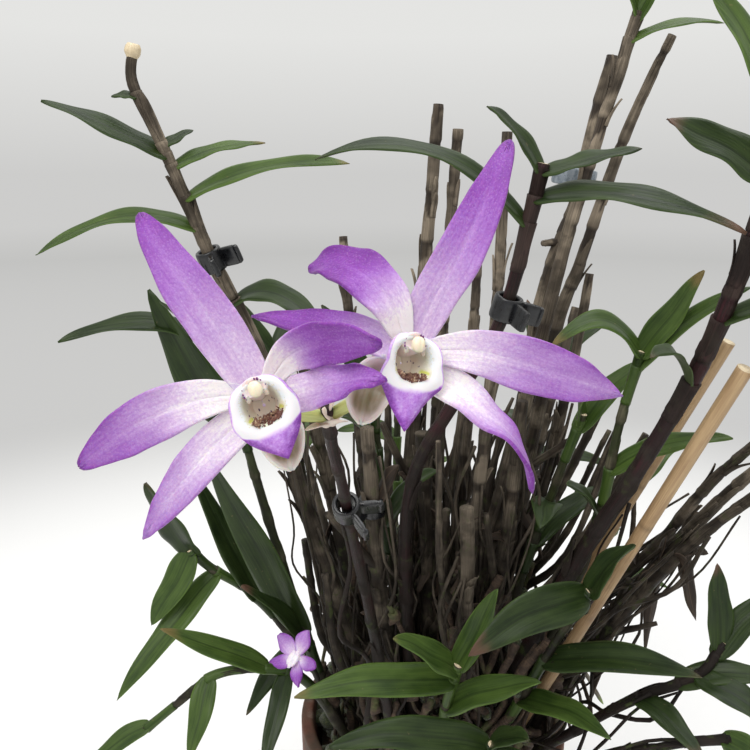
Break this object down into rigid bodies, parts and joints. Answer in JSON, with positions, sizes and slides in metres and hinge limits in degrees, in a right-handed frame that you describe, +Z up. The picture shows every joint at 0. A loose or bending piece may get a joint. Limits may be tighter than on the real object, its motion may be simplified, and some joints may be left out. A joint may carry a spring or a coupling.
{
  "type": "potted dendrobium moniliforme",
  "caption": "Potted Dendrobium moniliforme orchid: grey and maroon canes with narrow arching leaves and open lilac-and-white blooms, held by bamboo stakes and clips in a bark-filled pot.",
  "frame": {"origin": "centre of the pot's flat base, on the surface that the pot stands on", "axes": "+Z up the plant, -Y towards the front, where the open blooms face, +X to the viewer's right"},
  "size_m": [0.1812, 0.196, 0.2901],
  "materials": {
    "pot": "matt reddish-brown fired clay, darkened with damp and moss near the rim",
    "bark": "rough weathered bark chips",
    "old_cane": "dry papery grey-brown sheaths with dark stripes and ringed nodes",
    "young_cane": "dark maroon-black cane skin, faintly waxy",
    "leaf": "dark green waxy leaf",
    "young_leaf": "mid to yellow-green waxy leaf",
    "root": "silvery dry root skin",
    "bamboo": "tan split bamboo with pale cut ends",
    "clip": "glossy black plastic",
    "petal": "soft lilac petal, white at its base, with a fine sparkling grain",
    "lip": "white with a violet edge and a maroon hairy band",
    "column": "pinkish-white with an ivory cap",
    "pedicel": "smooth yellow-green"
  },
  "bodies": {
    "root": {"pot": "pot", "potting_mix": "bark", "old_cane_01": "old_cane", "old_cane_02": "old_cane", "old_cane_03": "old_cane", "old_cane_04": "old_cane", "old_cane_05": "old_cane", "old_cane_06": "old_cane", "old_cane_07": "old_cane", "old_cane_08": "old_cane", "old_cane_09": "old_cane", "old_cane_10": "old_cane", "old_cane_11": "old_cane", "old_cane_12": "old_cane", "old_cane_13": "old_cane", "old_cane_14": "old_cane", "old_cane_15": "old_cane", "old_cane_16": "old_cane", "old_cane_17": "old_cane", "old_cane_18": "old_cane", "tall_leafy_cane": "old_cane", "grey_cane_leafy_top": "old_cane", "maroon_cane_centre": "young_cane", "maroon_cane_right": "young_cane", "flowering_cane": "young_cane", "trailing_cane_right": "young_cane", "low_cane_right": "young_cane", "back_shoot_left": "young_cane", "back_shoot_right": "young_cane", "broad_leafed_shoot": "leaf", "inner_leafy_shoot": "leaf", "middle_leafy_shoot": "leaf", "green_shoot_right": "young_leaf", "trailing_cane_left": "young_leaf", "low_cane_left": "young_leaf", "front_shoot_left": "young_leaf", "front_shoot_middle": "young_leaf", "front_shoot_right": "young_leaf", "back_shoot_middle": "young_leaf", "side_shoot_right": "young_leaf", "aerial_root_left": "root", "aerial_root_front": "root", "aerial_root_right": "root", "bamboo_stake_front": "bamboo", "bamboo_stake_back": "bamboo", "clip_tall_cane": "clip", "clip_maroon_cane": "clip", "clip_grey_canes": "clip", "clip_flowering_cane": "clip", "clip_low": "clip", "left_bloom_petals": "petal", "left_bloom_lip": "lip", "left_bloom_column": "column", "left_bloom_pedicel": "pedicel", "right_bloom_petals": "petal", "right_bloom_lip": "lip", "right_bloom_column": "column", "right_bloom_pedicel": "pedicel", "small_bloom": "petal"}
  },
  "joints": []
}
